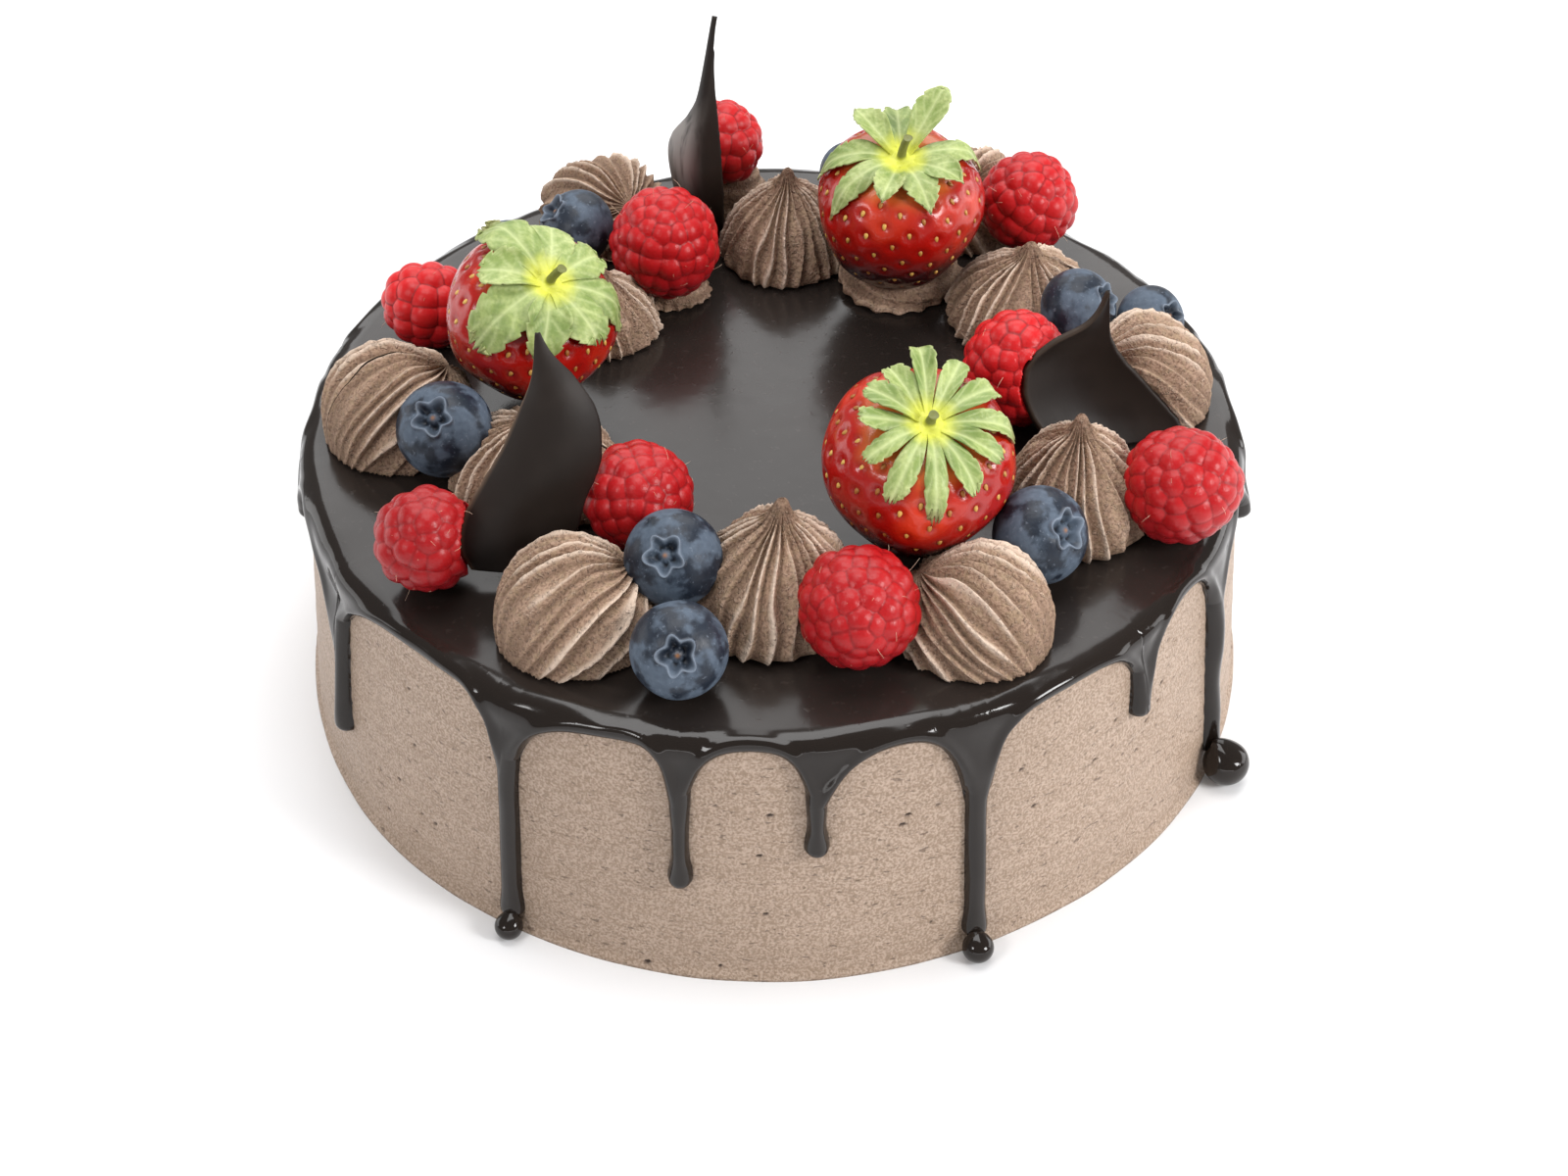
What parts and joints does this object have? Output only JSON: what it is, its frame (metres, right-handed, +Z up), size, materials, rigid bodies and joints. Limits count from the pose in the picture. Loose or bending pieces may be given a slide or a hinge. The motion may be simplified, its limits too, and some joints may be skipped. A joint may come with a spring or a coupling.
{
  "type": "chocolate berry cake",
  "caption": "Round uncut chocolate cake with a dripping dark glaze, a ring of piped cream, mixed berries and upright chocolate petals; it stands on its flat underside.",
  "frame": {"origin": "middle of the flat underside", "axes": "+Z up; -Y is the front of the cake as pictured; +X is to its right"},
  "size_m": [0.2024, 0.2024, 0.115],
  "materials": {
    "buttercream": "soft smooth spread cream, light cocoa brown",
    "ganache": "wet gloss, very dark brown",
    "piped_cream": "airy matte, cocoa brown",
    "raspberry": "satin, translucent red, fine hairs",
    "blueberry": "dull pale bloom over dark blue",
    "strawberry": "gloss red with pale seeds",
    "strawberry_leaf": "soft light green",
    "dark_chocolate": "half-matte dark chocolate"
  },
  "bodies": {
    "root": {"cake_body": "buttercream", "ganache_glaze": "ganache", "chocolate_petal_1": "dark_chocolate", "chocolate_petal_2": "dark_chocolate", "chocolate_petal_3": "dark_chocolate", "raspberry_1": "raspberry", "raspberry_2": "raspberry", "raspberry_3": "raspberry", "raspberry_4": "raspberry", "raspberry_5": "raspberry", "raspberry_6": "raspberry", "raspberry_7": "raspberry", "raspberry_8": "raspberry", "raspberry_9": "raspberry", "blueberry_1": "blueberry", "blueberry_2": "blueberry", "blueberry_3": "blueberry", "blueberry_4": "blueberry", "blueberry_5": "blueberry", "blueberry_6": "blueberry", "blueberry_7": "blueberry", "blueberry_8": "blueberry", "blueberry_9": "blueberry", "strawberry_1": "strawberry", "strawberry_2": "strawberry", "strawberry_3": "strawberry", "strawberry_leaves_1": "strawberry_leaf", "strawberry_leaves_2": "strawberry_leaf", "strawberry_leaves_3": "strawberry_leaf", "cream_1": "piped_cream", "cream_2": "piped_cream", "cream_3": "piped_cream", "cream_4": "piped_cream", "cream_5": "piped_cream", "cream_6": "piped_cream", "cream_7": "piped_cream", "cream_8": "piped_cream", "cream_9": "piped_cream", "cream_10": "piped_cream", "cream_11": "piped_cream", "cream_12": "piped_cream", "cream_13": "piped_cream", "cream_14": "piped_cream", "cream_15": "piped_cream"}
  },
  "joints": []
}
